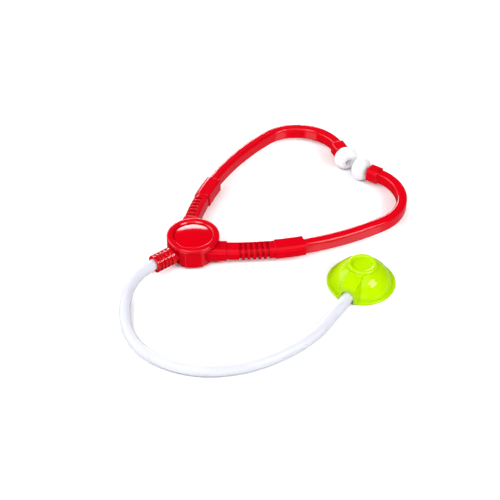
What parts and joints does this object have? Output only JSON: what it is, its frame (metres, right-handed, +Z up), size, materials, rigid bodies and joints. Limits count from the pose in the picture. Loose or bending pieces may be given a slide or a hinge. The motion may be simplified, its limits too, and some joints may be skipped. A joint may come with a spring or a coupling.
{
  "type": "toy stethoscope",
  "caption": "Toy stethoscope lying flat: hinged red arms with white ear tips on a round hub, a soft white tube and a lime green chest bell.",
  "frame": {"origin": "On the table, in the middle of the round foot under the hub.", "axes": "+Z is up from the table, +Y runs from the hub to the ear tips, and +X is to the right arm and the chest bell."},
  "size_m": [0.2193, 0.2846, 0.0214],
  "materials": {
    "red_plastic": "glossy moulded",
    "white_plastic": "soft satin",
    "white_tube": "soft satin",
    "green_plastic": "glossy moulded",
    "steel": "plated"
  },
  "bodies": {
    "hub": {"hub_body": "red_plastic", "hub_base": "red_plastic", "dome_cap": "red_plastic", "hub_screws": "steel", "tube_outlet": "red_plastic", "tube": "white_tube", "bell": "green_plastic", "bell_base": "green_plastic", "bell_screws": "steel"},
    "left_arm": {"left_neck": "red_plastic", "left_bow": "red_plastic", "left_ear_tip": "white_plastic"},
    "right_arm": {"right_neck": "red_plastic", "right_bow": "red_plastic", "right_ear_tip": "white_plastic"}
  },
  "joints": [
    {"name": "left_arm_swing", "type": "hinge", "parent": "hub", "child": "left_arm", "pos_m": [-0.011, 0, 0.01025], "axis": [0, 0, 1], "range_deg": [0, 20]},
    {"name": "right_arm_swing", "type": "hinge", "parent": "hub", "child": "right_arm", "pos_m": [0.011, 0, 0.01025], "axis": [0, 0, -1], "range_deg": [0, 8]}
  ]
}
